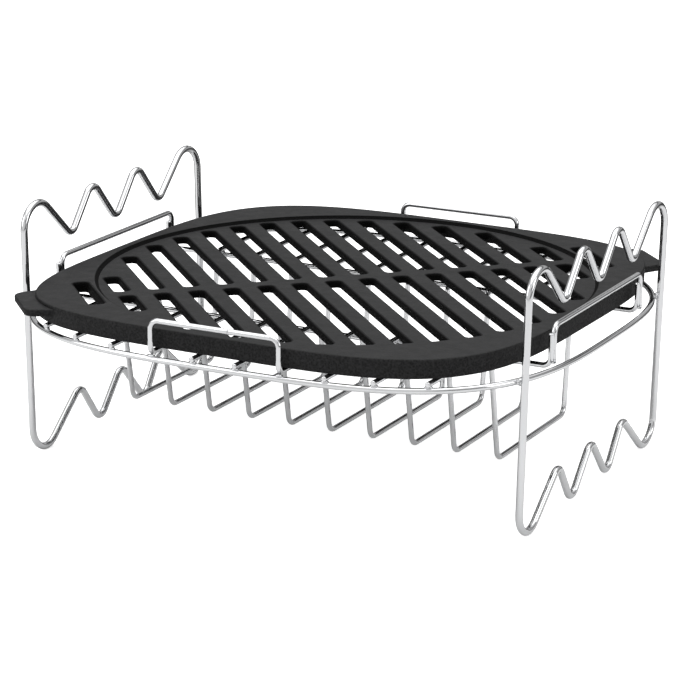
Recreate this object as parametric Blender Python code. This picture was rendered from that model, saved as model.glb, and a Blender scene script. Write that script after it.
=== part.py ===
"""Wire grill rack with a loose cast plate, built as separate pieces.

Frame: +Z up, +X along the rack from one wavy end frame to the other, metres.
The origin is on the surface that the rack stands on, under its centre.
"""
import math

import bpy
from mathutils import Vector

MM = 0.001

# Wire thicknesses
FRAME_WIRE = 4.2 * MM
RING_WIRE = 3.5 * MM
THIN_WIRE = 3.1 * MM
GAP = 0.3 * MM

# Wavy end frames, which stand at both ends and lean outwards a little
FRAME_X = 155.2 * MM
FRAME_LEAN = 0.021
LEAN_PIVOT_Z = 76.5 * MM
POST_Y = 97.7 * MM
TOP_VALLEY_Z = 123.0 * MM
TOP_PEAK_Z = 144.7 * MM
TOP_OUTER_PEAK_Z = 147.0 * MM
LOW_OUTER_Z = FRAME_WIRE / 2
LOW_INNER_Z = 4.3 * MM
LOW_ARCH_Z = 25.7 * MM
TOP_VALLEY_Y = 49.4 * MM
TOP_PEAK_Y = 24.8 * MM
LOW_ARCH_Y = 47.5 * MM
LOW_INNER_Y = 25.3 * MM
TOP_OUTER_PEG = 14.5 * MM
TOP_PEAK_PEG = 7.5 * MM
TOP_VALLEY_PEG = 5.5 * MM
LOW_OUTER_PEG = 13.5 * MM
LOW_INNER_PEG = 6.5 * MM
LOW_ARCH_PEG = 6.5 * MM

# Rounded-square ring that carries the plate
RING_HALF_X = 163.1 * MM
RING_HALF_Y = 153.8 * MM
RING_EXPONENT = 3.25
RING_Z = 89.0 * MM

# Rib wires: each rests on the ring at both ends and dips into a U between its shoulders
RIB_COUNT = 10
RIB_PITCH = 26.1 * MM
SHOULDER_Z = RING_Z + RING_WIRE / 2 + GAP + THIN_WIRE / 2
RIB_RUN_Z = 25.4 * MM
RIB_FRONT_FOOT_Y = -45.5 * MM
RIB_FRONT_TOP_Y = -57.9 * MM
RIB_BACK_FOOT_Y = 48.0 * MM
RIB_BACK_TOP_Y = 54.5 * MM
RIB_FOOT_BEND = 6.0 * MM
RIB_TOP_BEND = 5.0 * MM
RIB_BENDS = [RIB_TOP_BEND, RIB_FOOT_BEND, RIB_FOOT_BEND, RIB_TOP_BEND]

# Two rails along X under the ribs' shoulders, with upturned ends
RAIL_Z = SHOULDER_Z - THIN_WIRE - GAP
RAIL_HALF_SPACING = 62.25 * MM
RAIL_END_X = 155.6 * MM
RAIL_FRONT_TIP_Z = 107.5 * MM
RAIL_BACK_TIP_Z = 106.0 * MM
RAIL_BEND = 5.0 * MM

# Keepers: low wire bars round the plate that stop it sliding off
KEEPER_RIBS = (4, 7)
KEEPER_LOOP_Y = 153.6 * MM
KEEPER_LOOP_Z = 110.8 * MM
KEEPER_SIDE_Z = 111.0 * MM
KEEPER_FOOT_Z = 89.7 * MM
KEEPER_BEND = 5.0 * MM
KEEPER_LOW_BEND = 3.5 * MM

# Cast plate: rim, shallow round recess, slotted web, hollow underside, two ears
PLATE_HALF = 150.2 * MM
PLATE_EXPONENT = 3.75
PLATE_EAR_EXPONENT = 4.3
PLATE_TURN = math.radians(-0.9)
PLATE_BOTTOM_Z = SHOULDER_Z + THIN_WIRE / 2 + GAP
PLATE_TOP_Z = 105.3 * MM
PLATE_EDGE = 0.8 * MM
PLATE_WALL = 3.8 * MM
RECESS_RADIUS = 144.7 * MM
RECESS_FLOOR_RADIUS = 142.4 * MM
RECESS_DEPTH = 1.8 * MM
WEB_THICKNESS = 4.3 * MM
SLOT_COLUMNS = 14
SLOT_PITCH = 20.15 * MM
SLOT_WIDTH = 9.6 * MM
SLOT_CORNER = 3.0 * MM
SLOT_FIELD_RADIUS = 140.2 * MM
BRIDGE_HALF = 4.9 * MM
EAR_SLOT_OUT = 151.5 * MM
EAR_SLOT_HALF = 24.0 * MM
EAR_TIP = 191.0 * MM
EAR_ROOT = 165.0 * MM
EAR_TIP_HALF = 18.5 * MM
EAR_ROOT_HALF = 25.5 * MM
EAR_CORNER = 6.0 * MM
EAR_THICKNESS = 4.2 * MM
EAR_DROP = 2.0 * MM
EAR_ANGLE = math.radians(45) + PLATE_TURN

# How finely round shapes are divided, and how far cutters reach past a face
ARC_STEP = math.radians(24)
WIRE_RESOLUTION = 2
RING_POINTS = 64
PLATE_POINTS = 72
CUT_PAST = 2 * MM

# Colour, metallic and roughness of the two finishes
CHROME = ((0.78, 0.79, 0.8, 1.0), 1.0, 0.14)
CAST_IRON = ((0.018, 0.018, 0.019, 1.0), 0.0, 0.62)


def clear_scene():
    for old in list(bpy.data.objects):
        bpy.data.objects.remove(old)


def give_finish(obj, finish):
    color, metallic, roughness = finish
    material = bpy.data.materials.new(obj.name + "_finish")
    material.use_nodes = True
    shader = material.node_tree.nodes["Principled BSDF"]
    shader.inputs["Base Color"].default_value = color
    shader.inputs["Metallic"].default_value = metallic
    shader.inputs["Roughness"].default_value = roughness
    obj.data.materials.append(material)


def add_object(name, data):
    obj = bpy.data.objects.new(name, data)
    bpy.context.collection.objects.link(obj)
    return obj


# ---- Wire paths ----

def superellipse(half_x, half_y, exponent, count):
    """A closed rounded-square outline, densest at its corners."""
    points = []
    for i in range(count):
        angle = 2 * math.pi * i / count
        c = math.cos(angle)
        s = math.sin(angle)
        x = half_x * math.copysign(abs(c) ** (2 / exponent), c)
        y = half_y * math.copysign(abs(s) ** (2 / exponent), s)
        points.append((x, y))
    return points


def ring_y(x):
    """How far out the ring's centre line lies in Y at a given x."""
    return RING_HALF_Y * (1 - abs(x / RING_HALF_X) ** RING_EXPONENT) ** (1 / RING_EXPONENT)


def bent_path(corners, radii, closed=False):
    """The line of a wire with a round bend at each corner, of the radius given for it."""
    points = []
    count = len(corners)
    for i, (corner, radius) in enumerate(zip(corners, radii)):
        here = Vector(corner)
        if not closed and i in (0, count - 1):
            points.append(here)
            continue
        back = (Vector(corners[i - 1]) - here).normalized()
        ahead = (Vector(corners[(i + 1) % count]) - here).normalized()
        half_turn = back.angle(ahead) / 2
        setback = radius / math.tan(half_turn)
        middle = here + (back + ahead).normalized() * radius / math.sin(half_turn)
        start = here + back * setback - middle
        end = here + ahead * setback - middle
        sweep = start.angle(end)
        steps = max(2, math.ceil(sweep / ARC_STEP))
        for k in range(steps + 1):
            share = k / steps
            spoke = start * math.sin((1 - share) * sweep) + end * math.sin(share * sweep)
            points.append(middle + spoke / math.sin(sweep))
    return points


def peg_path(pegs):
    """A closed wire bent round a row of pegs: (y, z, radius, +1 left or -1 right turn)."""
    headings = []
    for i, (y, z, radius, side) in enumerate(pegs):
        next_y, next_z, next_radius, next_side = pegs[(i + 1) % len(pegs)]
        span = Vector((next_y - y, next_z - z))
        tilt = math.asin((next_side * next_radius - side * radius) / span.length)
        headings.append(math.atan2(span.y, span.x) - tilt)
    points = []
    for i, (y, z, radius, side) in enumerate(pegs):
        first = headings[i - 1]
        turn = side * ((side * (headings[i] - first)) % (2 * math.pi))
        steps = max(2, math.ceil(abs(turn) / ARC_STEP))
        for k in range(steps + 1):
            heading = first + turn * k / steps
            point_y = y + side * radius * math.sin(heading)
            point_z = z - side * radius * math.cos(heading)
            points.append((point_y, point_z))
    return points


def make_wire(name, points, thickness, closed=False):
    curve = bpy.data.curves.new(name, "CURVE")
    curve.dimensions = "3D"
    curve.bevel_depth = thickness / 2
    curve.bevel_resolution = WIRE_RESOLUTION
    curve.use_fill_caps = True
    spline = curve.splines.new("POLY")
    spline.points.add(len(points) - 1)
    for target, point in zip(spline.points, points):
        target.co = (point[0], point[1], point[2], 1.0)
    spline.use_cyclic_u = closed
    obj = add_object(name, curve)
    give_finish(obj, CHROME)
    return obj


# ---- Rack pieces ----

def end_frame_pegs():
    """Pegs of one end frame, from the low left corner round to the left post's top."""
    low_y = POST_Y - LOW_OUTER_PEG
    peak_y = POST_Y - TOP_OUTER_PEG
    low = [
        (-low_y, LOW_OUTER_Z + LOW_OUTER_PEG, LOW_OUTER_PEG, 1),
        (-LOW_ARCH_Y, LOW_ARCH_Z - LOW_ARCH_PEG, LOW_ARCH_PEG, -1),
        (-LOW_INNER_Y, LOW_INNER_Z + LOW_INNER_PEG, LOW_INNER_PEG, 1),
    ]
    middle = [(0.0, LOW_ARCH_Z - LOW_ARCH_PEG, LOW_ARCH_PEG, -1)]
    high = [
        (peak_y, TOP_OUTER_PEAK_Z - TOP_OUTER_PEG, TOP_OUTER_PEG, 1),
        (TOP_VALLEY_Y, TOP_VALLEY_Z + TOP_VALLEY_PEG, TOP_VALLEY_PEG, -1),
        (TOP_PEAK_Y, TOP_PEAK_Z - TOP_PEAK_PEG, TOP_PEAK_PEG, 1),
    ]
    top_middle = [(0.0, TOP_VALLEY_Z + TOP_VALLEY_PEG, TOP_VALLEY_PEG, -1)]
    low_right = [(-y, z, radius, side) for y, z, radius, side in reversed(low)]
    high_left = [(-y, z, radius, side) for y, z, radius, side in reversed(high)]
    return low + middle + low_right + high + top_middle + high_left


def make_end_frame(name, side):
    points = []
    for y, z in peg_path(end_frame_pegs()):
        x = side * (FRAME_X + FRAME_LEAN * (z - LEAN_PIVOT_Z))
        points.append((x, y, z))
    return make_wire(name, points, FRAME_WIRE, closed=True)


def make_ring():
    outline = superellipse(RING_HALF_X, RING_HALF_Y, RING_EXPONENT, RING_POINTS)
    points = [(x, y, RING_Z) for x, y in outline]
    return make_wire("plate_ring", points, RING_WIRE, closed=True)


def rib_x(number):
    return (number - (RIB_COUNT + 1) / 2) * RIB_PITCH


def rib_corners(number):
    """The U of one rib wire, from its front shoulder's inner end to the back one's."""
    x = rib_x(number)
    return [
        (x, RIB_FRONT_TOP_Y, SHOULDER_Z),
        (x, RIB_FRONT_FOOT_Y, RIB_RUN_Z),
        (x, RIB_BACK_FOOT_Y, RIB_RUN_Z),
        (x, RIB_BACK_TOP_Y, SHOULDER_Z),
    ]


def make_rib(number):
    x = rib_x(number)
    reach = ring_y(x) + RING_WIRE / 2
    corners = [(x, -reach, SHOULDER_Z)] + rib_corners(number) + [(x, reach, SHOULDER_Z)]
    return make_wire(f"rib_wire_{number:02d}", bent_path(corners, [0] + RIB_BENDS + [0]), THIN_WIRE)


def make_rail(name, y, tip_z):
    corners = [
        (-RAIL_END_X, y, tip_z),
        (-RAIL_END_X, y, RAIL_Z),
        (RAIL_END_X, y, RAIL_Z),
        (RAIL_END_X, y, tip_z),
    ]
    return make_wire(name, bent_path(corners, [RAIL_BEND] * 4), THIN_WIRE)


def make_side_keeper(name, side, offset):
    x = side * RAIL_END_X
    near = -RAIL_HALF_SPACING + offset
    far = RAIL_HALF_SPACING + offset
    corners = [
        (x, near, KEEPER_FOOT_Z),
        (x, near, KEEPER_SIDE_Z),
        (x, far, KEEPER_SIDE_Z),
        (x, far, KEEPER_FOOT_Z),
    ]
    return make_wire(name, bent_path(corners, [KEEPER_BEND] * 4), THIN_WIRE)


def make_keeper_loop():
    """One closed wire: two ribs whose shoulders turn up into the front and back bars."""
    left, right = KEEPER_RIBS
    corners = [
        (rib_x(left), -KEEPER_LOOP_Y, SHOULDER_Z),
        (rib_x(left), -KEEPER_LOOP_Y, KEEPER_LOOP_Z),
        (rib_x(right), -KEEPER_LOOP_Y, KEEPER_LOOP_Z),
        (rib_x(right), -KEEPER_LOOP_Y, SHOULDER_Z),
        *rib_corners(right),
        (rib_x(right), KEEPER_LOOP_Y, SHOULDER_Z),
        (rib_x(right), KEEPER_LOOP_Y, KEEPER_LOOP_Z),
        (rib_x(left), KEEPER_LOOP_Y, KEEPER_LOOP_Z),
        (rib_x(left), KEEPER_LOOP_Y, SHOULDER_Z),
        *reversed(rib_corners(left)),
    ]
    bar_bends = [KEEPER_LOW_BEND, KEEPER_BEND, KEEPER_BEND, KEEPER_LOW_BEND]
    points = bent_path(corners, (bar_bends + RIB_BENDS) * 2, closed=True)
    return make_wire("keeper_loop", points, THIN_WIRE, closed=True)


# ---- Cast plate ----

def loft(name, layers):
    """A closed solid through stacked outlines: (points, z) from the bottom up."""
    count = len(layers[0][0])
    verts = [(x, y, z) for outline, z in layers for x, y in outline]
    faces = [list(range(count))[::-1]]
    for layer in range(len(layers) - 1):
        low = layer * count
        for i in range(count):
            j = (i + 1) % count
            faces.append([low + i, low + j, low + count + j, low + count + i])
    last = (len(layers) - 1) * count
    faces.append([last + i for i in range(count)])
    mesh = bpy.data.meshes.new(name)
    mesh.from_pydata(verts, [], faces)
    return add_object(name, mesh)


def circle(radius, count):
    return superellipse(radius, radius, 2.0, count)


def rounded_outline(corners, radius):
    flat = [(x, y, 0.0) for x, y in corners]
    bent = bent_path(flat, [radius] * len(flat), closed=True)
    return [(point.x, point.y) for point in bent]


def turned(outline, angle):
    c = math.cos(angle)
    s = math.sin(angle)
    return [(c * x - s * y, s * x + c * y) for x, y in outline]


def use_cutter(target, cutter, operation):
    cutter.hide_render = True
    cutter.display_type = "WIRE"
    modifier = target.modifiers.new(cutter.name, "BOOLEAN")
    modifier.operation = operation
    modifier.solver = "EXACT"
    modifier.object = cutter


def slot_outline(out, start, end):
    """A slot across the ear diagonal: out along it, from start to end across it."""
    half = SLOT_WIDTH / 2
    corners = [(out - half, start), (out + half, start), (out + half, end), (out - half, end)]
    return turned(rounded_outline(corners, SLOT_CORNER), EAR_ANGLE)


def slot_outlines():
    outlines = []
    for column in range(SLOT_COLUMNS):
        out = (column - (SLOT_COLUMNS - 1) / 2) * SLOT_PITCH
        end = math.sqrt(SLOT_FIELD_RADIUS ** 2 - (abs(out) + SLOT_WIDTH / 2) ** 2)
        outlines.append(slot_outline(out, BRIDGE_HALF, end))
        outlines.append(slot_outline(out, -end, -BRIDGE_HALF))
    outlines.append(slot_outline(EAR_SLOT_OUT, -EAR_SLOT_HALF, EAR_SLOT_HALF))
    outlines.append(slot_outline(-EAR_SLOT_OUT, -EAR_SLOT_HALF, EAR_SLOT_HALF))
    return outlines


def make_slot_cutter():
    """All the slots in one cutter, as separate prisms that pass right through the web."""
    low = PLATE_BOTTOM_Z - CUT_PAST
    high = PLATE_TOP_Z + CUT_PAST
    verts = []
    faces = []
    for outline in slot_outlines():
        first = len(verts)
        count = len(outline)
        verts += [(x, y, low) for x, y in outline]
        verts += [(x, y, high) for x, y in outline]
        faces.append([first + i for i in reversed(range(count))])
        faces.append([first + count + i for i in range(count)])
        for i in range(count):
            j = (i + 1) % count
            faces.append([first + i, first + j, first + count + j, first + count + i])
    mesh = bpy.data.meshes.new("slot_cutter")
    mesh.from_pydata(verts, [], faces)
    return add_object("slot_cutter", mesh)


def plate_outline(inset):
    """A rounded square, fuller at the two corners that carry the ears."""
    half = PLATE_HALF - inset
    full = superellipse(half, half, PLATE_EAR_EXPONENT, PLATE_POINTS)
    slim = superellipse(half, half, PLATE_EXPONENT, PLATE_POINTS)
    outline = [a if a[0] * a[1] > 0 else b for a, b in zip(full, slim)]
    return turned(outline, PLATE_TURN)


def make_plate():
    plate = loft("grill_plate", [
        (plate_outline(0.0), PLATE_BOTTOM_Z),
        (plate_outline(0.0), PLATE_TOP_Z - PLATE_EDGE),
        (plate_outline(PLATE_EDGE), PLATE_TOP_Z),
    ])
    give_finish(plate, CAST_IRON)

    ear_top = PLATE_TOP_Z - EAR_DROP
    ear_corners = [
        (EAR_ROOT, -EAR_ROOT_HALF),
        (EAR_TIP, -EAR_TIP_HALF),
        (EAR_TIP, EAR_TIP_HALF),
        (EAR_ROOT, EAR_ROOT_HALF),
    ]
    ear_outline = rounded_outline(ear_corners, EAR_CORNER)
    for name, angle in (("ear_right", EAR_ANGLE), ("ear_left", EAR_ANGLE + math.pi)):
        shape = turned(ear_outline, angle)
        ear = loft(name, [(shape, ear_top - EAR_THICKNESS), (shape, ear_top)])
        use_cutter(plate, ear, "UNION")

    floor = PLATE_TOP_Z - RECESS_DEPTH
    flare = (RECESS_RADIUS - RECESS_FLOOR_RADIUS) / RECESS_DEPTH
    recess = loft("recess_cutter", [
        (circle(RECESS_FLOOR_RADIUS, PLATE_POINTS), floor),
        (circle(RECESS_RADIUS + flare * CUT_PAST, PLATE_POINTS), PLATE_TOP_Z + CUT_PAST),
    ])
    use_cutter(plate, recess, "DIFFERENCE")

    cavity = loft("cavity_cutter", [
        (plate_outline(PLATE_WALL), PLATE_BOTTOM_Z - CUT_PAST),
        (plate_outline(PLATE_WALL), floor - WEB_THICKNESS),
    ])
    use_cutter(plate, cavity, "DIFFERENCE")
    use_cutter(plate, make_slot_cutter(), "DIFFERENCE")
    return plate


def main():
    clear_scene()
    make_end_frame("end_frame_left", -1)
    make_end_frame("end_frame_right", 1)
    make_ring()
    for number in range(1, RIB_COUNT + 1):
        if number not in KEEPER_RIBS:
            make_rib(number)
    make_keeper_loop()

    # The rails' upturned ends lie beside the side keepers' legs, one wire apart
    offset = (THIN_WIRE + GAP) / 2
    make_rail("rail_front", -RAIL_HALF_SPACING - offset, RAIL_FRONT_TIP_Z)
    make_rail("rail_back", RAIL_HALF_SPACING - offset, RAIL_BACK_TIP_Z)
    make_side_keeper("side_keeper_left", -1, offset)
    make_side_keeper("side_keeper_right", 1, offset)
    make_plate()


main()
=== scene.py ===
# %% [markdown]
# # A wire grill rack with a loose cast plate
#
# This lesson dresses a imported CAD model. The CAD model says where everything
# is and how it moves. This file only makes the surfaces that are seen: smooth
# chromed wire, small weld beads and a cast iron plate with soft edges.
# Everything is in metres, with +Z up and +X along the rack.

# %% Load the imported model
import math

import bpy
from mathutils import Matrix, Vector, noise


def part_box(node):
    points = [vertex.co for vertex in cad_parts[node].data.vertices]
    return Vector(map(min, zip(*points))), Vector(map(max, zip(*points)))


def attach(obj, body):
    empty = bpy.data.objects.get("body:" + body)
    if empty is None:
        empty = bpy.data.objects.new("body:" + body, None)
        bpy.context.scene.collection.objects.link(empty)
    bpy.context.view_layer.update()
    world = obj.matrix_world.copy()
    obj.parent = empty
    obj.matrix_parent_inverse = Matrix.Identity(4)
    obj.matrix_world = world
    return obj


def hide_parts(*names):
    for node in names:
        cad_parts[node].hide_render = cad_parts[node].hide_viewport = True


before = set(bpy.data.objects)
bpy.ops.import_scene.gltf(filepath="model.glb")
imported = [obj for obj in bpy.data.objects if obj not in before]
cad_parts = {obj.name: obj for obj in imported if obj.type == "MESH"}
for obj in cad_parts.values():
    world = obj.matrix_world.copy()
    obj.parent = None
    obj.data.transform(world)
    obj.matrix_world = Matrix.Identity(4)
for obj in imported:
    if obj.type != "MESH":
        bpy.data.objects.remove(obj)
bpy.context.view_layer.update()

MM = 0.001

# %% [markdown]
# ## The camera
#
# The camera stands to the right of the front and looks down a little, as
# someone would who is about to lay a skewer on the rack. A long lens keeps the
# wires nearly parallel. The camera's own axes are worked out from three
# angles: round the object, above the horizon, and a hair of roll.

# %% Place the camera
# The lens and the sensor are in millimetres, as on a real camera
CAMERA_PLACE = (0.7, -1.3625, 0.5105)
CAMERA_AZIMUTH = math.radians(27.331)
CAMERA_ELEVATION = math.radians(16.187)
CAMERA_ROLL = math.radians(0.338)
SENSOR_WIDTH = 36.0
LENS = 145.38


def camera_axes(azimuth, elevation, roll):
    """The camera's right, up and backward directions."""
    back = Vector((
        math.sin(azimuth) * math.cos(elevation),
        -math.cos(azimuth) * math.cos(elevation),
        math.sin(elevation),
    ))
    right = Vector((math.cos(azimuth), math.sin(azimuth), 0.0))
    turn = Matrix.Rotation(roll, 3, back)
    right = turn @ right
    return right, back.cross(right), back


def make_camera():
    data = bpy.data.cameras.new("camera")
    data.sensor_width = SENSOR_WIDTH
    data.lens = LENS
    camera = bpy.data.objects.new("camera", data)
    bpy.context.collection.objects.link(camera)
    axes = camera_axes(CAMERA_AZIMUTH, CAMERA_ELEVATION, CAMERA_ROLL)
    placed = Matrix(axes).transposed().to_4x4()
    placed.translation = CAMERA_PLACE
    camera.matrix_world = placed
    bpy.context.scene.camera = camera


make_camera()
print("camera looks down by", round(math.degrees(CAMERA_ELEVATION), 1), "degrees")

# %% [markdown]
# ## The studio
#
# Chrome has almost no colour of its own, so it shows what stands around it. A
# studio for shiny metal is white, with a few dark gaps that draw thin dark
# lines along each wire. Here the gaps are bands in the world: one low at the
# horizon, and a softer one between the backdrop and the overhead light. The
# camera itself sees plain white behind the floor.

# %% Node helper
def add_node(tree, kind, inputs=None, **settings):
    """Adds a shader node, sets its properties, and fills or links its inputs by name."""
    node = tree.nodes.new(kind)
    for key, value in settings.items():
        setattr(node, key, value)
    for key, value in (inputs or {}).items():
        socket = node.inputs[key]
        if isinstance(value, bpy.types.NodeSocket):
            tree.links.new(value, socket)
        else:
            socket.default_value = value
    return node


def grey(value):
    """A neutral colour for a shader socket."""
    return (value, value, value, 1.0)


def fill_ramp(node, stops):
    """Sets a colour ramp from (position, grey) pairs."""
    ramp = node.color_ramp
    while len(ramp.elements) < len(stops):
        ramp.elements.new(0.5)
    for element, (position, value) in zip(ramp.elements, stops):
        element.position = position
        element.color = grey(value)


# %% World
# Brightness by height: 0.5 is the horizon and 1 is straight up
SKY_STOPS = [
    (0.40, 0.30),
    (0.49, 0.10),
    (0.52, 0.06),
    (0.55, 0.42),
    (0.70, 0.55),
    (0.725, 0.10),
    (0.76, 0.12),
    (0.80, 0.95),
    (1.0, 1.0),
]
BRIGHT_SIDE = Vector((-0.3, -0.95, 0.0)).normalized()
BRIGHT_GREY = 0.95
BRIGHT_SHARE = 0.8
# How squarely a direction must face the bright side for it to begin and to be full
BRIGHT_EDGE = (0.3, 0.7)


def make_world():
    world = bpy.data.worlds.new("studio")
    bpy.context.scene.world = world
    world.use_nodes = True
    tree = world.node_tree
    tree.nodes.clear()
    where = add_node(tree, "ShaderNodeTexCoord")
    parts = add_node(tree, "ShaderNodeSeparateXYZ", {"Vector": where.outputs["Generated"]})
    height = add_node(
        tree, "ShaderNodeMapRange", {"Value": parts.outputs["Z"], "From Min": -1.0, "From Max": 1.0}
    )
    sky = add_node(tree, "ShaderNodeValToRGB", {"Fac": height.outputs["Result"]})
    fill_ramp(sky, SKY_STOPS)
    facing = add_node(
        tree, "ShaderNodeVectorMath",
        {0: where.outputs["Generated"], 1: BRIGHT_SIDE}, operation="DOT_PRODUCT",
    )
    side = add_node(
        tree, "ShaderNodeMapRange",
        {"Value": facing.outputs["Value"], "From Min": BRIGHT_EDGE[0], "From Max": BRIGHT_EDGE[1],
         "To Max": BRIGHT_SHARE},
        interpolation_type="SMOOTHSTEP",
    )
    studio = add_node(
        tree, "ShaderNodeMix",
        {"Factor": side.outputs["Result"], "A": sky.outputs["Color"], "B": grey(BRIGHT_GREY)},
        data_type="RGBA",
    )
    lit = add_node(tree, "ShaderNodeBackground", {"Color": studio.outputs[2]})
    plain = add_node(tree, "ShaderNodeBackground", {"Color": grey(1.0)})
    path = add_node(tree, "ShaderNodeLightPath")
    mixed = add_node(
        tree, "ShaderNodeMixShader",
        {0: path.outputs["Is Camera Ray"], 1: lit.outputs[0], 2: plain.outputs[0]},
    )
    add_node(tree, "ShaderNodeOutputWorld", {"Surface": mixed.outputs[0]})


make_world()
bpy.context.scene.view_settings.view_transform = "Standard"
bpy.context.scene.view_settings.look = "None"
print("world: studio with", len(SKY_STOPS), "bands")

# %% Soft lights
# Name, place, width in metres and power in watts
LIGHTS = [
    ("overhead_light", (-0.1, 0.1, 1.5), 1.8, 15.0),
    ("front_left_light", (-1.4, -1.3, 1.0), 1.2, 8.0),
    ("right_light", (1.7, 0.1, 0.75), 0.8, 5.0),
]
LIT_POINT = Vector((0.0, 0.0, 0.08))


def make_light(name, place, width, watts):
    data = bpy.data.lights.new(name, "AREA")
    data.shape = "SQUARE"
    data.size = width
    data.energy = watts
    light = bpy.data.objects.new(name, data)
    bpy.context.collection.objects.link(light)
    light.location = place
    light.rotation_euler = (LIT_POINT - Vector(place)).to_track_quat("-Z", "Y").to_euler()


for light in LIGHTS:
    make_light(*light)
print("lights:", len(LIGHTS))

# %% [markdown]
# ## The floor
#
# The floor is plain and pale, and lit so strongly that its shadows nearly
# vanish. A white floor would also fill every wire with white. So the floor
# darkens behind the rack for all rays but the camera's own, as if the white
# sheet ended there. That gives each wire its dark outline.

# %% Make the floor
FLOOR_RADIUS = 6.0
FLOOR_SIDES = 96
FLOOR_GLOW = 0.7
SHEET_GREY = 0.8
BEYOND_GREY = 0.07
# How far behind the rack's middle the sheet starts to darken, and where it ends
SHEET_EDGE = (0.12, 0.42)
SHEET_DIRECTION = Vector((-math.sin(CAMERA_AZIMUTH), math.cos(CAMERA_AZIMUTH), 0.0))


def make_floor():
    bpy.ops.mesh.primitive_circle_add(vertices=FLOOR_SIDES, radius=FLOOR_RADIUS, fill_type="NGON")
    floor = bpy.context.object
    floor.name = "studio_floor"
    material = bpy.data.materials.new("pale_floor")
    material.use_nodes = True
    tree = material.node_tree
    tree.nodes.clear()
    where = add_node(tree, "ShaderNodeTexCoord")
    along = add_node(
        tree, "ShaderNodeVectorMath",
        {0: where.outputs["Object"], 1: SHEET_DIRECTION}, operation="DOT_PRODUCT",
    )
    fade = add_node(
        tree, "ShaderNodeMapRange",
        {"Value": along.outputs["Value"], "From Min": SHEET_EDGE[0], "From Max": SHEET_EDGE[1],
         "To Min": SHEET_GREY, "To Max": BEYOND_GREY},
        interpolation_type="SMOOTHSTEP",
    )
    mirrored = add_node(tree, "ShaderNodeBsdfDiffuse", {"Color": fade.outputs["Result"]})
    seen = add_node(tree, "ShaderNodeBsdfDiffuse", {"Color": grey(SHEET_GREY)})
    glow = add_node(tree, "ShaderNodeEmission", {"Strength": FLOOR_GLOW})
    bright = add_node(tree, "ShaderNodeAddShader", {0: seen.outputs[0], 1: glow.outputs[0]})
    path = add_node(tree, "ShaderNodeLightPath")
    mixed = add_node(
        tree, "ShaderNodeMixShader",
        {0: path.outputs["Is Camera Ray"], 1: mirrored.outputs[0], 2: bright.outputs[0]},
    )
    add_node(tree, "ShaderNodeOutputMaterial", {"Surface": mixed.outputs[0]})
    floor.data.materials.append(material)


make_floor()
print("floor radius, m:", FLOOR_RADIUS)

# %% [markdown]
# ## Shared surface effects
#
# Two effects are used by more than one finish, so each is a node group. One
# is slow mottling, which makes gloss uneven from place to place. The other is
# fine grain, a small relief that feeds a Bump node. Both read object space, so
# nothing slides when the plate is lifted.

# %% Node groups
# Detail is the number of ever finer layers of noise; roughness is how strong the fine ones are
MOTTLE_NOISE = {"Detail": 4.0, "Roughness": 0.6}
MOTTLE_SPREAD = (0.3, 0.7)
GRAIN_NOISE = {"Detail": 5.0, "Roughness": 0.65}


def new_group(name, inputs, outputs):
    """A shader node group with float sockets; returns the tree and its two end nodes."""
    group = bpy.data.node_groups.new(name, "ShaderNodeTree")
    for label, value in inputs.items():
        socket = group.interface.new_socket(label, in_out="INPUT", socket_type="NodeSocketFloat")
        socket.default_value = value
    for label in outputs:
        group.interface.new_socket(label, in_out="OUTPUT", socket_type="NodeSocketFloat")
    return group, group.nodes.new("NodeGroupInput"), group.nodes.new("NodeGroupOutput")


def make_mottle_group():
    sockets = {"Scale": 60.0, "Low": 0.0, "High": 1.0}
    group, start, end = new_group("slow_mottle", sockets, ["Value"])
    where = add_node(group, "ShaderNodeTexCoord")
    cloud = add_node(
        group, "ShaderNodeTexNoise",
        {"Vector": where.outputs["Object"], "Scale": start.outputs["Scale"], **MOTTLE_NOISE},
    )
    spread = add_node(
        group, "ShaderNodeMapRange",
        {"Value": cloud.outputs["Fac"], "From Min": MOTTLE_SPREAD[0], "From Max": MOTTLE_SPREAD[1],
         "To Min": start.outputs["Low"], "To Max": start.outputs["High"]},
    )
    group.links.new(spread.outputs["Result"], end.inputs["Value"])
    return group


def make_grain_group():
    group, start, end = new_group("fine_grain", {"Scale": 900.0, "Pits": 0.5}, ["Height"])
    where = add_node(group, "ShaderNodeTexCoord")
    fine = add_node(
        group, "ShaderNodeTexNoise",
        {"Vector": where.outputs["Object"], "Scale": start.outputs["Scale"], **GRAIN_NOISE},
    )
    cells = add_node(
        group, "ShaderNodeTexVoronoi",
        {"Vector": where.outputs["Object"], "Scale": start.outputs["Scale"]}, feature="SMOOTH_F1",
    )
    pits = add_node(
        group, "ShaderNodeMath",
        {0: cells.outputs["Distance"], 1: start.outputs["Pits"], 2: fine.outputs["Fac"]},
        operation="MULTIPLY_ADD",
    )
    group.links.new(pits.outputs[0], end.inputs["Height"])
    return group


mottle_group = make_mottle_group()
grain_group = make_grain_group()
print("node groups:", mottle_group.name, grain_group.name)

# %% [markdown]
# ## Bright chrome
#
# The wires are drawn steel, plated with nickel and chromium. Plating levels
# the surface, so it is nearly a mirror, but the drawn wire below leaves a
# faint grain and the gloss is never quite even. The weld beads are rougher,
# because molten metal sets with a skin that plating only half hides.

# %% Chrome materials
CHROME_COLOR = (0.66, 0.665, 0.675, 1.0)
CHROME_GLOSS = (0.045, 0.1)
WELD_COLOR = (0.56, 0.565, 0.575, 1.0)
WELD_GLOSS = (0.12, 0.24)
GLOSS_SCALE = 55.0
DRAWN_GRAIN = {"Scale": 420.0, "Pits": 0.3}
DRAWN_DEPTH = 0.000006
WELD_GRAIN = {"Scale": 1400.0, "Pits": 0.3}
WELD_DEPTH = 0.00005


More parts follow.
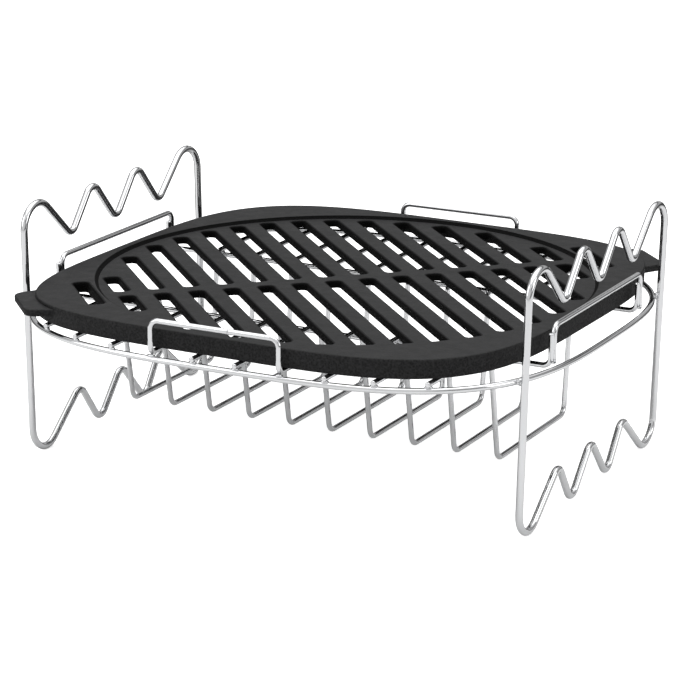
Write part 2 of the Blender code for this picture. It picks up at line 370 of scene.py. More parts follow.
def make_chrome(name, color, gloss, grain_values, grain_depth):
    """gloss is the lowest and highest roughness; grain_depth is in metres."""
    material = bpy.data.materials.new(name)
    material.use_nodes = True
    tree = material.node_tree
    shader = tree.nodes["Principled BSDF"]
    shader.inputs["Base Color"].default_value = color
    shader.inputs["Metallic"].default_value = 1.0
    uneven = add_node(
        tree, "ShaderNodeGroup", {"Scale": GLOSS_SCALE, "Low": gloss[0], "High": gloss[1]},
        node_tree=mottle_group,
    )
    tree.links.new(uneven.outputs["Value"], shader.inputs["Roughness"])
    grain = add_node(tree, "ShaderNodeGroup", grain_values, node_tree=grain_group)
    bump = add_node(
        tree, "ShaderNodeBump",
        {"Height": grain.outputs["Height"], "Distance": grain_depth, "Strength": 1.0},
    )
    tree.links.new(bump.outputs["Normal"], shader.inputs["Normal"])
    return material


chrome = make_chrome("bright_chrome", CHROME_COLOR, CHROME_GLOSS, DRAWN_GRAIN, DRAWN_DEPTH)
weld_chrome = make_chrome("weld_chrome", WELD_COLOR, WELD_GLOSS, WELD_GRAIN, WELD_DEPTH)
print("finishes:", chrome.name, weld_chrome.name)

# %% [markdown]
# ## Cast iron
#
# The plate is cast in sand and coated. Its top is ground flat, so it is
# smooth, and it is a little lighter, partly as painted light. The sides, the
# slots' walls and the underside keep the sand's grain and look darker, partly
# as painted shade on faces that turn away from the overhead light. One
# material does both: the way the surface faces blends between the two looks.
# The walls in the slots and in the dish's edge get a second, blacker finish,
# which is painted shade.

# %% Iron material
# The top is lighter as ground iron and partly as painted light; the sides are darker as sand-cast
# iron and partly as painted shade
TOP_COLOR = (0.013, 0.013, 0.0135, 1.0)
SIDE_COLOR = (0.0085, 0.0085, 0.0088, 1.0)
# Painted shade: the near-black colour of the walls in the slots and the dish's edge
PAINTED_SHADE_COLOR = (0.0007, 0.0007, 0.0007, 1.0)
PAINTED_SHADE_REFLECTION = 0.06
IRON_REFLECTION = 0.2
# How far up a face must look to turn from the side look to the top look
IRON_TOP_FACING = (0.7, 0.98)
PAINTED_SHADE_TOP_FACING = (0.75, 1.0)
# Grain in the sides: the heights that it spans, and how dark and light it makes them
SAND_GRAIN = {"Scale": 950.0, "Pits": 0.7}
SAND_HEIGHTS = (0.55, 1.0)
SPECKLE = (0.15, 1.9)
TOP_CLOUDS = {"Scale": 38.0, "Low": 0.86, "High": 1.12}
TOP_GLOSS = {"Scale": 140.0, "Low": 0.5, "High": 0.62}
SIDE_ROUGHNESS = 0.72
SIDE_GRAIN_DEPTH = 0.00042
TOP_GRAIN_DEPTH = 0.00007


def make_iron(name, side_color, reflection, top_facing):
    material = bpy.data.materials.new(name)
    material.use_nodes = True
    tree = material.node_tree
    shader = tree.nodes["Principled BSDF"]
    shader.inputs["Specular IOR Level"].default_value = reflection
    where = add_node(tree, "ShaderNodeTexCoord")
    parts = add_node(tree, "ShaderNodeSeparateXYZ", {"Vector": where.outputs["Normal"]})
    # Mask by how far a face looks up: the ground top, partly painted lighter as painted light,
    # against darker sides, partly painted shade
    ground_top_and_painted_light = add_node(
        tree, "ShaderNodeMapRange",
        {"Value": parts.outputs["Z"], "From Min": top_facing[0], "From Max": top_facing[1]},
        interpolation_type="SMOOTHSTEP",
    )
    cloud = add_node(tree, "ShaderNodeGroup", TOP_CLOUDS, node_tree=mottle_group)
    color = add_node(
        tree, "ShaderNodeMix",
        {"Factor": ground_top_and_painted_light.outputs["Result"], "A": side_color, "B": TOP_COLOR},
        data_type="RGBA",
    )
    grain = add_node(tree, "ShaderNodeGroup", SAND_GRAIN, node_tree=grain_group)
    speckle = add_node(
        tree, "ShaderNodeMapRange",
        {"Value": grain.outputs["Height"], "From Min": SAND_HEIGHTS[0], "From Max": SAND_HEIGHTS[1],
         "To Min": SPECKLE[0], "To Max": SPECKLE[1]},
    )
    contrast = add_node(
        tree, "ShaderNodeMapRange",
        {"Value": ground_top_and_painted_light.outputs["Result"],
         "To Min": speckle.outputs["Result"], "To Max": cloud.outputs["Value"]},
    )
    shaded = add_node(
        tree, "ShaderNodeVectorMath",
        {0: color.outputs[2], 1: contrast.outputs["Result"]}, operation="MULTIPLY",
    )
    tree.links.new(shaded.outputs["Vector"], shader.inputs["Base Color"])
    gloss = add_node(tree, "ShaderNodeGroup", TOP_GLOSS, node_tree=mottle_group)
    rough = add_node(
        tree, "ShaderNodeMapRange",
        {"Value": ground_top_and_painted_light.outputs["Result"],
         "To Min": SIDE_ROUGHNESS, "To Max": gloss.outputs["Value"]},
    )
    tree.links.new(rough.outputs["Result"], shader.inputs["Roughness"])
    depth = add_node(
        tree, "ShaderNodeMapRange",
        {"Value": ground_top_and_painted_light.outputs["Result"], "To Min": SIDE_GRAIN_DEPTH, "To Max": TOP_GRAIN_DEPTH},
    )
    relief = add_node(
        tree, "ShaderNodeMath",
        {0: grain.outputs["Height"], 1: depth.outputs["Result"]}, operation="MULTIPLY",
    )
    bump = add_node(
        tree, "ShaderNodeBump",
        {"Height": relief.outputs[0], "Distance": 1.0, "Strength": 1.0},
    )
    tree.links.new(bump.outputs["Normal"], shader.inputs["Normal"])
    return material


iron = make_iron("cast_iron", SIDE_COLOR, IRON_REFLECTION, IRON_TOP_FACING)
# A near-black copy of the iron for the walls in the slots and the dish's edge: painted shade
shaded_walls_iron = make_iron("painted_shade_iron", PAINTED_SHADE_COLOR, PAINTED_SHADE_REFLECTION, PAINTED_SHADE_TOP_FACING)
print("finishes:", iron.name, shaded_walls_iron.name)

# %% [markdown]
# ## Wires
#
# A wire is a line with a thickness, so each one is a curve with a round bevel.
# A wire shop bends wire round pegs, which gives straight runs and true arcs,
# so the lines here are made of the same two things. The cut ends get a round
# edge by letting the thickness shrink over the last part of a millimetre.

# %% Wire lines
ARC_STEP = math.radians(5)
END_STEPS = 6
END_ROUNDING = 0.5
WIRE_SIDES = 8


def bent_path(corners, radii, closed=False):
    """The line of a wire with a round bend at each corner, of the radius given for it."""
    points = []
    count = len(corners)
    for i, (corner, radius) in enumerate(zip(corners, radii)):
        here = Vector(corner)
        if not closed and i in (0, count - 1):
            points.append(here)
            continue
        back = (Vector(corners[i - 1]) - here).normalized()
        ahead = (Vector(corners[(i + 1) % count]) - here).normalized()
        half_turn = back.angle(ahead) / 2
        setback = radius / math.tan(half_turn)
        middle = here + (back + ahead).normalized() * radius / math.sin(half_turn)
        start = here + back * setback - middle
        end = here + ahead * setback - middle
        sweep = start.angle(end)
        steps = max(2, math.ceil(sweep / ARC_STEP))
        for k in range(steps + 1):
            share = k / steps
            spoke = start * math.sin((1 - share) * sweep) + end * math.sin(share * sweep)
            points.append(middle + spoke / math.sin(sweep))
    return points


def peg_path(pegs):
    """A closed wire bent round a row of pegs: (y, z, radius, +1 left or -1 right turn)."""
    headings = []
    for i, (y, z, radius, side) in enumerate(pegs):
        next_y, next_z, next_radius, next_side = pegs[(i + 1) % len(pegs)]
        span = Vector((next_y - y, next_z - z))
        tilt = math.asin((next_side * next_radius - side * radius) / span.length)
        headings.append(math.atan2(span.y, span.x) - tilt)
    points = []
    for i, (y, z, radius, side) in enumerate(pegs):
        first = headings[i - 1]
        turn = side * ((side * (headings[i] - first)) % (2 * math.pi))
        steps = max(2, math.ceil(abs(turn) / ARC_STEP))
        for k in range(steps + 1):
            heading = first + turn * k / steps
            point_y = y + side * radius * math.sin(heading)
            point_z = z - side * radius * math.cos(heading)
            points.append((point_y, point_z))
    return points


def rounded_ends(points, radius):
    """Adds points near both ends of a cut wire, with a thickness share for each point."""
    line = [(Vector(point), 1.0) for point in points]
    for _ in range(2):
        tip, inner = line[0][0], line[1][0]
        inward = (inner - tip).normalized() * radius * END_ROUNDING
        cap = []
        for k in range(END_STEPS + 1):
            angle = math.pi / 2 * k / END_STEPS
            share = 1 - END_ROUNDING * (1 - math.sin(angle))
            cap.append((tip + inward * (1 - math.cos(angle)), share))
        line = cap + line[1:]
        line.reverse()
    return line


def make_wire(name, node, points, thickness, closed=False):
    """A chromed wire that stands for one CAD node."""
    radius = thickness / 2
    line = [(Vector(point), 1.0) for point in points] if closed else rounded_ends(points, radius)
    curve = bpy.data.curves.new(name, "CURVE")
    curve.dimensions = "3D"
    curve.bevel_depth = radius
    curve.bevel_resolution = WIRE_SIDES
    curve.use_fill_caps = True
    spline = curve.splines.new("POLY")
    spline.points.add(len(line) - 1)
    for target, (point, share) in zip(spline.points, line):
        target.co = (*point, 1.0)
        target.radius = share
    spline.use_cyclic_u = closed
    wire = bpy.data.objects.new(name, curve)
    bpy.context.collection.objects.link(wire)
    curve.materials.append(chrome)
    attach(wire, "rack")
    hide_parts(node)
    return wire


# %% [markdown]
# ## End frames
#
# Each end frame is one long wire, bent into a loop and butt welded. Its top
# wave has three valleys that each hold a skewer, and its bottom wave gives the
# rack its feet. Both lean outwards a little. The overall size comes from the
# CAD box; the pegs of the wave are the same ones that the CAD uses.

# %% Make the end frames
# Pegs of the waves: centre of the wire's bend in Y, its lowest or highest Z, and peg radius
TOP_VALLEY = (49.4 * MM, 123.0 * MM, 5.5 * MM)
TOP_PEAK = (24.8 * MM, 144.7 * MM, 7.5 * MM)
TOP_OUTER_RADIUS = 14.5 * MM
LOW_ARCH = (47.5 * MM, 25.7 * MM, 6.5 * MM)
LOW_INNER = (25.3 * MM, 4.3 * MM, 6.5 * MM)
LOW_OUTER_RADIUS = 13.5 * MM
FRAME_WIRE = 4.2 * MM


def end_frame_pegs(post_y, low_z, high_z):
    arch_y, arch_z, arch_r = LOW_ARCH
    inner_y, inner_z, inner_r = LOW_INNER
    valley_y, valley_z, valley_r = TOP_VALLEY
    peak_y, peak_z, peak_r = TOP_PEAK
    low = [
        (LOW_OUTER_RADIUS - post_y, low_z + LOW_OUTER_RADIUS, LOW_OUTER_RADIUS, 1),
        (-arch_y, arch_z - arch_r, arch_r, -1),
        (-inner_y, inner_z + inner_r, inner_r, 1),
    ]
    high = [
        (post_y - TOP_OUTER_RADIUS, high_z - TOP_OUTER_RADIUS, TOP_OUTER_RADIUS, 1),
        (valley_y, valley_z + valley_r, valley_r, -1),
        (peak_y, peak_z - peak_r, peak_r, 1),
    ]
    low_middle = [(0.0, arch_z - arch_r, arch_r, -1)]
    high_middle = [(0.0, valley_z + valley_r, valley_r, -1)]
    mirrored_low = [(-y, z, radius, side) for y, z, radius, side in reversed(low)]
    mirrored_high = [(-y, z, radius, side) for y, z, radius, side in reversed(high)]
    return low + low_middle + mirrored_low + high + high_middle + mirrored_high


def make_end_frame(name, node, side):
    low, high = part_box(node)
    half = FRAME_WIRE / 2
    post_y = high.y - half
    near_x = min(abs(low.x), abs(high.x)) + half
    far_x = max(abs(low.x), abs(high.x)) - half
    lean = (far_x - near_x) / (high.z - low.z - FRAME_WIRE)
    points = []
    for y, z in peg_path(end_frame_pegs(post_y, FRAME_WIRE / 2, high.z - half)):
        x = side * (near_x + lean * (z - low.z - half))
        points.append((x, y, z))
    return make_wire(name, node, points, FRAME_WIRE, closed=True)


make_end_frame("left_skewer_frame", "end_frame_left", -1)
make_end_frame("right_skewer_frame", "end_frame_right", 1)

# %% [markdown]
# ## The ring and the ribs
#
# The ring is a rounded square, drawn here as a superellipse: a circle's
# formula with a larger exponent, which flattens its sides. Ten rib wires
# rest on it with their shoulders and dip into a U between them. Turned over,
# the ribs stand up and hold slabs of meat on edge.

# %% Make the ring
RING_EXPONENT = 3.25
RING_POINTS = 240
ring_low, ring_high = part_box("plate_ring")
ring_wire = ring_high.z - ring_low.z
ring_half = Vector((ring_high.x - ring_wire / 2, ring_high.y - ring_wire / 2))
ring_z = (ring_low.z + ring_high.z) / 2


def superellipse(half_x, half_y, exponent, count):
    points = []
    for i in range(count):
        angle = 2 * math.pi * i / count
        c = math.cos(angle)
        s = math.sin(angle)
        x = half_x * math.copysign(abs(c) ** (2 / exponent), c)
        y = half_y * math.copysign(abs(s) ** (2 / exponent), s)
        points.append((x, y))
    return points


def ring_y(x):
    """How far out the ring's centre line lies in Y at a given x."""
    share = 1 - abs(x / ring_half.x) ** RING_EXPONENT
    return ring_half.y * share ** (1 / RING_EXPONENT)


def ring_x(y):
    """How far out the ring's centre line lies in X at a given y."""
    share = 1 - abs(y / ring_half.y) ** RING_EXPONENT
    return ring_half.x * share ** (1 / RING_EXPONENT)


ring_outline = superellipse(ring_half.x, ring_half.y, RING_EXPONENT, RING_POINTS)
ring_line = [(x, y, ring_z) for x, y in ring_outline]
make_wire("carrying_ring", "plate_ring", ring_line, ring_wire, closed=True)
print("ring centre line, mm:", [round(2 * half / MM, 1) for half in ring_half])

# %% Make the ribs
RIB_COUNT = 10
KEEPER_RIBS = (4, 7)
RIB_FRONT_FOOT_Y = -45.5 * MM
RIB_FRONT_TOP_Y = -57.9 * MM
RIB_BACK_FOOT_Y = 48.0 * MM
RIB_BACK_TOP_Y = 54.5 * MM
RIB_FOOT_BEND = 6.0 * MM
RIB_TOP_BEND = 5.0 * MM
RIB_BENDS = [RIB_TOP_BEND, RIB_FOOT_BEND, RIB_FOOT_BEND, RIB_TOP_BEND]


def middle(node):
    low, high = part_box(node)
    return (low + high) / 2


rib_low, rib_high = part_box("rib_wire_05")
thin_wire = rib_high.x - rib_low.x
shoulder_z = rib_high.z - thin_wire / 2
run_z = rib_low.z + thin_wire / 2
first_x = middle("rib_wire_01").x
rib_pitch = middle("rib_wire_02").x - first_x
rib_x = {number: first_x + rib_pitch * (number - 1) for number in range(1, RIB_COUNT + 1)}


def rib_corners(x):
    """The U of one rib wire, from its front shoulder's inner end to the back one's."""
    return [
        (x, RIB_FRONT_TOP_Y, shoulder_z),
        (x, RIB_FRONT_FOOT_Y, run_z),
        (x, RIB_BACK_FOOT_Y, run_z),
        (x, RIB_BACK_TOP_Y, shoulder_z),
    ]


def make_rib(number):
    node = f"rib_wire_{number:02d}"
    low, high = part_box(node)
    x = rib_x[number]
    corners = [(x, low.y, shoulder_z)] + rib_corners(x) + [(x, high.y, shoulder_z)]
    points = bent_path(corners, [0] + RIB_BENDS + [0])
    return make_wire(f"rib_{number:02d}", node, points, thin_wire)


for number in range(1, RIB_COUNT + 1):
    if number not in KEEPER_RIBS:
        make_rib(number)
print("rib pitch, mm:", round(rib_pitch / MM, 2))

# %% [markdown]
# ## Keepers and rails
#
# Four low bars stop the plate from sliding off. The front and back bars
# belong to one long closed wire that also makes two of the ribs. The side
# bars stand at the ends of two rails, which tie the ribs' shoulders together
# from below and turn up beside the keepers' legs.

# %% Make the long keeper loop
KEEPER_BEND = 5.0 * MM
KEEPER_LOW_BEND = 3.5 * MM


def make_keeper_loop():
    low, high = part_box("keeper_loop")
    half = thin_wire / 2
    left, right = (rib_x[number] for number in KEEPER_RIBS)
    front = low.y + half
    back = high.y - half
    top = high.z - half
    corners = [
        (left, front, shoulder_z),
        (left, front, top),
        (right, front, top),
        (right, front, shoulder_z),
        *rib_corners(right),
        (right, back, shoulder_z),
        (right, back, top),
        (left, back, top),
        (left, back, shoulder_z),
        *reversed(rib_corners(left)),
    ]
    bar_bends = [KEEPER_LOW_BEND, KEEPER_BEND, KEEPER_BEND, KEEPER_LOW_BEND]
    points = bent_path(corners, (bar_bends + RIB_BENDS) * 2, closed=True)
    return make_wire("long_keeper_loop", "keeper_loop", points, thin_wire, closed=True)


make_keeper_loop()

# %% Make the rails and side keepers
RAIL_BEND = 5.0 * MM


def make_rail(name, node):
    low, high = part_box(node)
    half = thin_wire / 2
    y = (low.y + high.y) / 2
    corners = [
        (low.x + half, y, high.z),
        (low.x + half, y, low.z + half),
        (high.x - half, y, low.z + half),
        (high.x - half, y, high.z),
    ]
    return make_wire(name, node, bent_path(corners, [RAIL_BEND] * 4), thin_wire)


def make_side_keeper(name, node):
    low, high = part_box(node)
    half = thin_wire / 2
    x = (low.x + high.x) / 2
    corners = [
        (x, low.y + half, low.z),
        (x, low.y + half, high.z - half),
        (x, high.y - half, high.z - half),
        (x, high.y - half, low.z),
    ]
    return make_wire(name, node, bent_path(corners, [KEEPER_BEND] * 4), thin_wire)


make_rail("front_rail", "rail_front")
make_rail("back_rail", "rail_back")
make_side_keeper("left_plate_keeper", "side_keeper_left")
make_side_keeper("right_plate_keeper", "side_keeper_right")

# %% [markdown]
# ## Weld beads
#
# Wires that cross are pressed together and fused by a pulse of current. The
# metal that is squeezed out sets as a small bead on both sides of the joint.
# Each bead is a squashed ball with a little unevenness, and all the beads of
# one kind of joint are one piece.

# %% Bead tools
BEAD_SEGMENTS = 20
BEAD_RINGS = 12
BEAD_WOBBLE = 0.09
BEAD_LUMPS = 1.3
# Far enough apart in the noise that no two beads get the same lumps
BEAD_SPREAD = 400


def bead_mesh(beads):
    """Vertices and faces of squashed balls: each bead is (centre, size, angle about Z)."""
    verts = []
    faces = []
    for centre, size, angle in beads:
        first = len(verts)
        turn = Matrix.Rotation(angle, 3, "Z")
        for ring in range(BEAD_RINGS + 1):
            lift = math.pi * ring / BEAD_RINGS
            for k in range(BEAD_SEGMENTS):
                around = 2 * math.pi * k / BEAD_SEGMENTS
                ball = Vector((
                    math.sin(lift) * math.cos(around),
                    math.sin(lift) * math.sin(around),
                    math.cos(lift),
                ))
                lump = noise.noise(ball * BEAD_LUMPS + Vector(centre) * BEAD_SPREAD)
                swell = 1 + BEAD_WOBBLE * lump
                ball = Vector(ball[i] * size[i] / 2 * swell for i in range(3))
                verts.append(Vector(centre) + turn @ ball)
        for ring in range(BEAD_RINGS):
            for k in range(BEAD_SEGMENTS):
                here = first + ring * BEAD_SEGMENTS
                below = here + BEAD_SEGMENTS
                after = (k + 1) % BEAD_SEGMENTS
                faces.append([here + k, below + k, below + after, here + after])
    return verts, faces


def make_beads(name, beads):
    verts, faces = bead_mesh(beads)
    mesh = bpy.data.meshes.new(name)
    mesh.from_pydata(verts, [], faces)
    mesh.validate()
    mesh.shade_smooth()
    mesh.materials.append(weld_chrome)
    piece = bpy.data.objects.new(name, mesh)
    bpy.context.collection.objects.link(piece)
    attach(piece, "rack")
    return piece


# %% Beads on the ribs' shoulders
# A bead's size is its length along the joint, its width and its height
RING_BEAD = (4.7 * MM, 3.0 * MM, 1.9 * MM)
RING_BEAD_LIFT = 0.1 * MM
RAIL_BEAD = (3.9 * MM, 3.7 * MM, 1.5 * MM)
rail_y = {name: middle(name).y for name in ("rail_front", "rail_back")}
rail_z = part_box("rail_front")[0].z + thin_wire / 2
ring_top_z = ring_z + ring_wire / 2


def ring_heading(x, y):
    """The direction that the ring runs in at a point, as an angle about Z."""
    pull_x = abs(x / ring_half.x) ** (RING_EXPONENT - 1) / ring_half.x
    pull_y = abs(y / ring_half.y) ** (RING_EXPONENT - 1) / ring_half.y
    return math.atan2(-math.copysign(pull_x, x), math.copysign(pull_y, y))


ring_beads = []
rail_beads = []
for x in rib_x.values():
    for side in (-1, 1):
        y = side * ring_y(x)
        centre = (x, y, ring_top_z + RING_BEAD_LIFT)
        ring_beads.append((centre, RING_BEAD, ring_heading(x, y)))
    for y in rail_y.values():
        rail_beads.append(((x, y, (shoulder_z + rail_z) / 2), RAIL_BEAD, 0.0))
make_beads("ring_weld_beads", ring_beads)
make_beads("rail_weld_beads", rail_beads)
print("beads on the shoulders:", len(ring_beads) + len(rail_beads))

# %% Beads at the posts and the keepers
POST_BEAD = (4.4 * MM, 2.6 * MM, 4.2 * MM)
POST_BEAD_AHEAD = (2.4 * MM, 1.9 * MM, 2.6 * MM)
POST_BEAD_BEHIND = (2.2 * MM, 1.8 * MM, 2.2 * MM)
POST_BEAD_STEP = 1.7 * MM
KEEPER_SEAM = (2.3 * MM, 1.9 * MM, 4.5 * MM)
SEAM_ABOVE_FOOT = 7.0 * MM
SEAM_BELOW_TIP = 2.5 * MM
BAR_BUTT_BEAD = (1.8 * MM, 3.6 * MM, 3.6 * MM)
BAR_BUTT_X = 9.0 * MM
RING_BUTT_BEAD = (2.0 * MM, 4.1 * MM, 4.1 * MM)


def post_beads():
    beads = []
    for node, side in (("end_frame_left", -1), ("end_frame_right", 1)):
        low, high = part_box(node)
        post_y = high.y - FRAME_WIRE / 2
        near_x = min(abs(low.x), abs(high.x)) + FRAME_WIRE / 2
        far_x = max(abs(low.x), abs(high.x)) - FRAME_WIRE / 2
        post_x = near_x + (far_x - near_x) * (ring_z - low.z) / (high.z - low.z)
        for end in (-1, 1):
            post = Vector((side * post_x, end * post_y, ring_z))
            on_ring = Vector((side * ring_x(post_y), end * post_y, ring_z))
            touch = post.lerp(on_ring, 0.5)
            heading = ring_heading(touch.x, touch.y)
            along = Vector((math.cos(heading), math.sin(heading), 0.0))
            beads.append((touch, POST_BEAD, heading))
            beads.append((touch + along * POST_BEAD_STEP, POST_BEAD_AHEAD, heading))
            beads.append((touch - along * POST_BEAD_STEP, POST_BEAD_BEHIND, heading))
    return beads


def keeper_beads():
    """Thin seams in the grooves between the rails' upturned ends and the keepers' legs."""
    beads = []
    for node in ("side_keeper_left", "side_keeper_right"):
        low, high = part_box(node)
        x = (low.x + high.x) / 2
        for name, y in rail_y.items():
            leg_y = low.y + thin_wire / 2 if name == "rail_front" else high.y - thin_wire / 2
            tip_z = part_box(name)[1].z
            for z in (low.z + SEAM_ABOVE_FOOT, tip_z - SEAM_BELOW_TIP):
                beads.append(((x, (y + leg_y) / 2, z), KEEPER_SEAM, 0.0))
    return beads


make_beads("post_weld_beads", post_beads())
make_beads("keeper_weld_beads", keeper_beads())
bar_low, bar_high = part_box("keeper_loop")
bar_z = bar_high.z - thin_wire / 2
make_beads("butt_weld_beads", [
    ((BAR_BUTT_X, bar_low.y + thin_wire / 2, bar_z), BAR_BUTT_BEAD, 0.0),
    ((0.0, ring_half.y, ring_z), RING_BUTT_BEAD, 0.0),
])
print("beads at posts and keepers:", len(post_beads()) + len(keeper_beads()))

# %% [markdown]
# ## The cast plate
#
# The plate is a thick rounded square with a shallow round dish in its top, a
# hollow underside, and slots across the line that joins its two ears. Cast
# edges are never sharp, so each cutter flares where it meets a face, which
# leaves a rounded edge behind. The pieces are stacks of outlines, joined and
# cut with booleans.

# %% Plate sizes
PLATE_TURN = math.radians(-0.9)
EAR_ANGLE = math.radians(45) + PLATE_TURN
PLATE_HALF = 150.2 * MM
PLATE_EXPONENT = 3.75
PLATE_EAR_EXPONENT = 4.3
PLATE_WALL = 3.8 * MM
RECESS_RADIUS = 144.7 * MM
RECESS_FLOOR_RADIUS = 142.8 * MM
RECESS_DEPTH = 1.8 * MM
RECESS_LIP = 0.7 * MM
LIP_INSET = 0.3 * MM
WEB_THICKNESS = 4.3 * MM
SLOT_COLUMNS = 14
SLOT_PITCH = 20.15 * MM
SLOT_WIDTH = 8.4 * MM
SLOT_CORNER = 2.6 * MM
SLOT_FIELD_RADIUS = 140.2 * MM
BRIDGE_HALF = 5.2 * MM
EAR_SLOT_OUT = 151.5 * MM
EAR_SLOT_HALF = 24.0 * MM
TOP_EDGE = 1.1 * MM
LOW_EDGE = 0.8 * MM
SLOT_EDGE = 1.5 * MM
SIDE_DRAFT = 0.25 * MM
EDGE_STEPS = 5
CORNER_STEPS = 8
OUTLINE_POINTS = 288
# Faces that look up more than this get no painted shade, and edges sharper than this stay crisp
PAINTED_SHADE_FACING = 0.995
CRISP_EDGE = math.radians(38)
CUT_PAST = 2.0 * MM
plate_low, plate_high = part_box("grill_plate")
plate_floor_z = plate_high.z - RECESS_DEPTH
print("plate thickness, mm:", round((plate_high.z - plate_low.z) / MM, 2))

# %% Outlines and lofts
def turned(outline, angle):
    c = math.cos(angle)
    s = math.sin(angle)
    return [(c * x - s * y, s * x + c * y) for x, y in outline]


def plate_outline(inset):
    """A rounded square, fuller at the two corners that carry the ears."""
    half = PLATE_HALF - inset
    full = superellipse(half, half, PLATE_EAR_EXPONENT, OUTLINE_POINTS)
    slim = superellipse(half, half, PLATE_EXPONENT, OUTLINE_POINTS)
    outline = [a if a[0] * a[1] > 0 else b for a, b in zip(full, slim)]
    return turned(outline, PLATE_TURN)


def rounded_box(low_x, high_x, low_y, high_y, corner):
    """A rectangle with round corners, as points in order."""
    points = []
    centres = [
        (high_x - corner, low_y + corner, -90),
        (high_x - corner, high_y - corner, 0),
        (low_x + corner, high_y - corner, 90),
        (low_x + corner, low_y + corner, 180),
    ]
    for x, y, first in centres:
        for k in range(CORNER_STEPS + 1):
            angle = math.radians(first + 90 * k / CORNER_STEPS)
            points.append((x + corner * math.cos(angle), y + corner * math.sin(angle)))
    return points


def loft(name, stacks):
    """One object of closed solids: each stack is a list of (outline, z) from the bottom up."""
    verts = []
    faces = []
    for layers in stacks:
        first = len(verts)
        count = len(layers[0][0])
        verts += [(x, y, z) for outline, z in layers for x, y in outline]
        faces.append([first + i for i in reversed(range(count))])
        for layer in range(len(layers) - 1):
            low = first + layer * count
            for i in range(count):
                j = (i + 1) % count
                faces.append([low + i, low + j, low + count + j, low + count + i])
        last = first + (len(layers) - 1) * count
        faces.append([last + i for i in range(count)])
    mesh = bpy.data.meshes.new(name)
    mesh.from_pydata(verts, [], faces)
    piece = bpy.data.objects.new(name, mesh)
    bpy.context.collection.objects.link(piece)
    return piece


def flare(radius):
    """How far a cutter widens, and how far below the face, along a rounded edge."""
    steps = [math.radians(90 * k / EDGE_STEPS) for k in range(EDGE_STEPS + 1)]
    return [(radius * (1 - math.cos(angle)), radius * (1 - math.sin(angle))) for angle in steps]


# %% Cutters
def slot_layers(low_x, high_x, low_y, high_y, top_z):
    """A slot cutter's outlines, which widen towards the plate's top face."""
    layers = []
    spread = [(0.0, plate_high.z - plate_low.z + CUT_PAST)] + flare(SLOT_EDGE)
    for wider, below in spread:
        outline = rounded_box(
            low_x - wider, high_x + wider, low_y - wider, high_y + wider, SLOT_CORNER + wider
        )
        layers.append((turned(outline, EAR_ANGLE), top_z - below))
    outline, height = layers[-1]
    layers.append((outline, height + CUT_PAST))
    return layers


def all_slots():
    half = SLOT_WIDTH / 2
    stacks = []
    for column in range(SLOT_COLUMNS):
        out = (column - (SLOT_COLUMNS - 1) / 2) * SLOT_PITCH
        end = math.sqrt(SLOT_FIELD_RADIUS ** 2 - (abs(out) + half) ** 2)
        stacks.append(slot_layers(out - half, out + half, BRIDGE_HALF, end, plate_floor_z))
        stacks.append(slot_layers(out - half, out + half, -end, -BRIDGE_HALF, plate_floor_z))
    for out in (-EAR_SLOT_OUT, EAR_SLOT_OUT):
        span = (out - half, out + half, -EAR_SLOT_HALF, EAR_SLOT_HALF)
        stacks.append(slot_layers(*span, plate_high.z))
    return stacks


def circle(radius):
    return superellipse(radius, radius, 2.0, OUTLINE_POINTS)


def recess_layers():
    """A shallow dish: a flat floor, a sloping wall and a rounded lip."""
    layers = [(circle(RECESS_FLOOR_RADIUS), plate_floor_z)]
    for wider, below in flare(RECESS_LIP)[1:]:
        layers.append((circle(RECESS_RADIUS - LIP_INSET + wider), plate_high.z - below))
    outline, height = layers[-1]
    layers.append((outline, height + CUT_PAST))
    return layers


# %% Ears
EAR_TIP = 191.0 * MM
EAR_ROOT = 165.0 * MM
EAR_TIP_HALF = 18.5 * MM
EAR_ROOT_HALF = 25.5 * MM
EAR_CORNER = 6.0 * MM
EAR_THICKNESS = 4.2 * MM
EAR_DROP = 2.0 * MM
EAR_EDGE = 1.0 * MM


def ear_outline(inset):
    corners = [
        (EAR_ROOT, -EAR_ROOT_HALF + inset, 0.0),
        (EAR_TIP - inset, -EAR_TIP_HALF + inset, 0.0),
        (EAR_TIP - inset, EAR_TIP_HALF - inset, 0.0),
        (EAR_ROOT, EAR_ROOT_HALF - inset, 0.0),
    ]
    radii = [EAR_CORNER] * 4
    return [(point.x, point.y) for point in bent_path(corners, radii, closed=True)]


def ear_layers(angle):
    top = plate_high.z - EAR_DROP
    bottom = top - EAR_THICKNESS
    layers = []
    for inset, below in reversed(flare(EAR_EDGE)):
        layers.append((turned(ear_outline(inset), angle), bottom + below))
    for inset, below in flare(EAR_EDGE):
        layers.append((turned(ear_outline(inset), angle), top - below))
    return layers


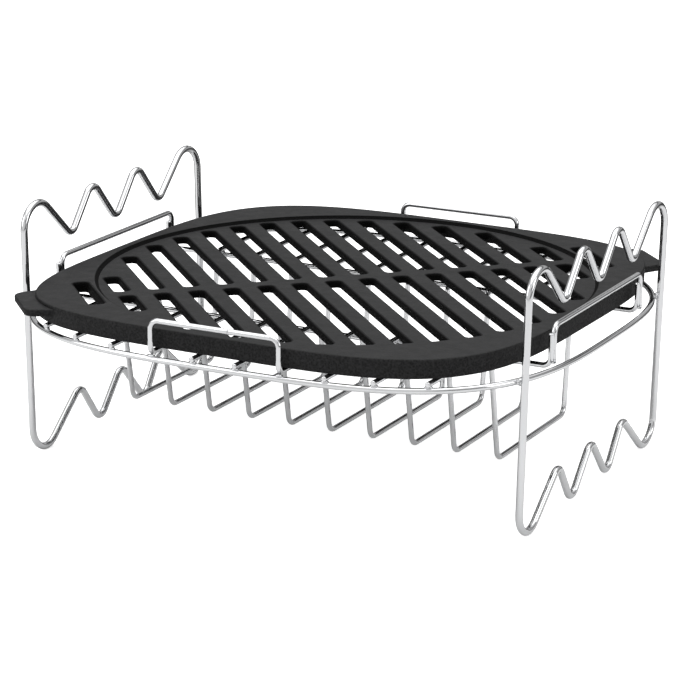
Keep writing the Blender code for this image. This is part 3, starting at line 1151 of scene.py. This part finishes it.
# %% Build the plate
def use_boolean(target, tool, operation):
    modifier = target.modifiers.new(tool.name, "BOOLEAN")
    modifier.operation = operation
    modifier.solver = "EXACT"
    modifier.object = tool


def settle(piece):
    """Applies every modifier, so the result is one plain mesh."""
    graph = bpy.context.evaluated_depsgraph_get()
    mesh = bpy.data.meshes.new_from_object(piece.evaluated_get(graph))
    piece.modifiers.clear()
    piece.data = mesh


def in_a_cut(point):
    """Whether a point of the plate lies in the dish, its slots or an ear's slot."""
    along, across = turned([point], -EAR_ANGLE)[0]
    in_dish = point.length < RECESS_RADIUS + TOP_EDGE
    near_ear = abs(along) < EAR_SLOT_OUT + SLOT_WIDTH
    return in_dish or near_ear and abs(across) < EAR_SLOT_HALF + SLOT_WIDTH


def make_plate():
    body = []
    for inset, below in reversed(flare(LOW_EDGE)):
        body.append((plate_outline(inset + SIDE_DRAFT), plate_low.z + below))
    for inset, below in flare(TOP_EDGE):
        body.append((plate_outline(inset), plate_high.z - below))
    plate = loft("grill_plate_casting", [body])
    cavity_top = plate_floor_z - WEB_THICKNESS
    tools = [
        (loft("ears", [ear_layers(EAR_ANGLE), ear_layers(EAR_ANGLE + math.pi)]), "UNION"),
        (loft("recess", [recess_layers()]), "DIFFERENCE"),
        (loft("cavity", [[
            (plate_outline(PLATE_WALL), plate_low.z - CUT_PAST),
            (plate_outline(PLATE_WALL), cavity_top),
        ]]), "DIFFERENCE"),
        (loft("slots", all_slots()), "DIFFERENCE"),
    ]
    for tool, operation in tools:
        use_boolean(plate, tool, operation)
    settle(plate)
    for tool, _ in tools:
        bpy.data.objects.remove(tool)
    plate.data.materials.clear()
    plate.data.materials.append(iron)
    plate.data.materials.append(shaded_walls_iron)
    # Painted shade: steep faces in the dish, the slots and the ear slots get the near-black finish
    for face in plate.data.polygons:
        if face.normal.z < PAINTED_SHADE_FACING and in_a_cut(face.center.to_2d()):
            face.material_index = 1
    plate.data.shade_smooth()
    plate.data.set_sharp_from_angle(angle=CRISP_EDGE)
    weighted = plate.modifiers.new("even_shading", "WEIGHTED_NORMAL")
    weighted.keep_sharp = True
    weighted.weight = 100
    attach(plate, "plate")
    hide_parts("grill_plate")
    return plate


plate = make_plate()
print("plate faces:", len(plate.data.polygons))
